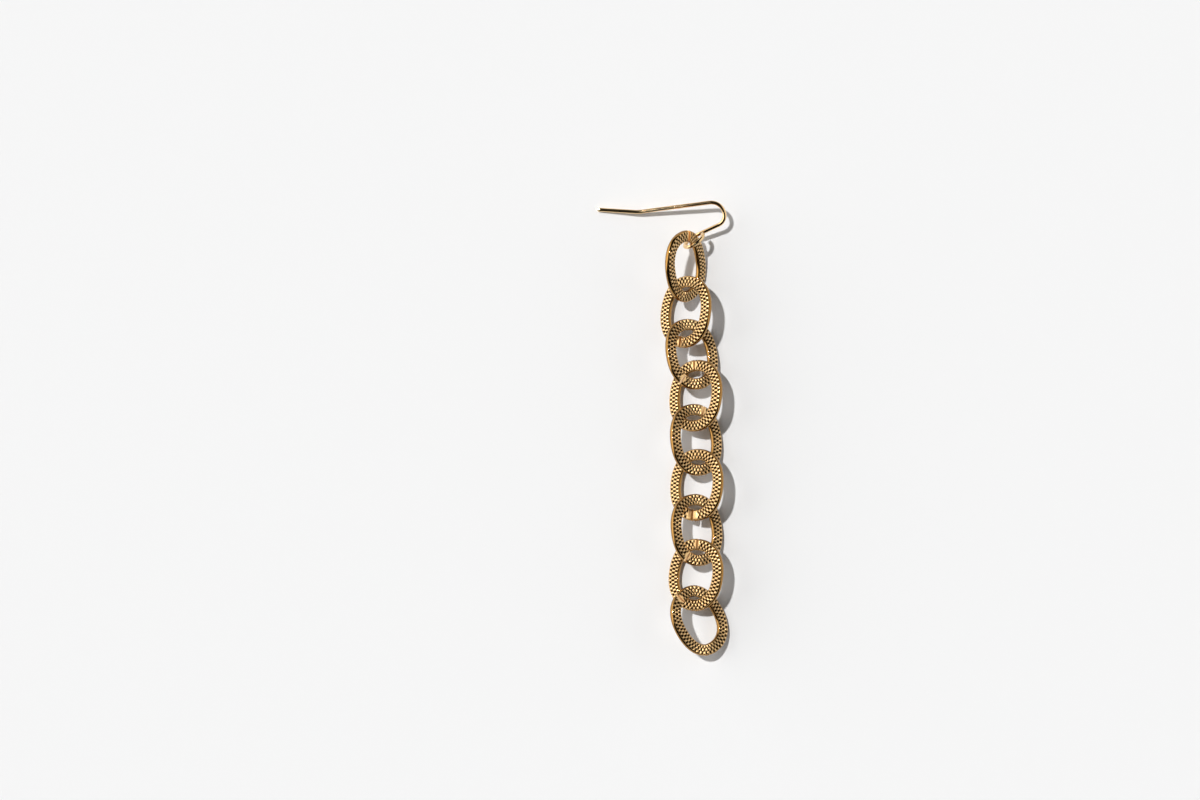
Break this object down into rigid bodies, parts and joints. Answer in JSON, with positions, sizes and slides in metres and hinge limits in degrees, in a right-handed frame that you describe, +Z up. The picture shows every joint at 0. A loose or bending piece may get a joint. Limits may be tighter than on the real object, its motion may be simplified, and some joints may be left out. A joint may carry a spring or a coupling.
{
  "type": "dangle earring with an ear hook and a chain of oval links",
  "caption": "Dangle earring: a bent gold wire ear hook, its eye round the first of a chain of interlocking oval links of flat band with open seams, lying stretched out on its side",
  "frame": {"origin": "on the table, under the middle of the earring's box", "axes": "+Y from the last link up to the hook, +X to the right as the earring is seen from above, +Z up from the table"},
  "size_m": [0.026, 0.0904, 0.0106],
  "materials": {
    "gold_plated_band": "gold plated, faces hammered with staggered rows of small dents, side walls polished",
    "gold_plated_wire": "gold plated, polished"
  },
  "bodies": {
    "root": {"ear_hook": "gold_plated_wire", "link_1": "gold_plated_band", "link_2": "gold_plated_band", "link_3": "gold_plated_band", "link_4": "gold_plated_band", "link_5": "gold_plated_band", "link_6": "gold_plated_band", "link_7": "gold_plated_band", "link_8": "gold_plated_band", "link_9": "gold_plated_band"}
  },
  "joints": []
}
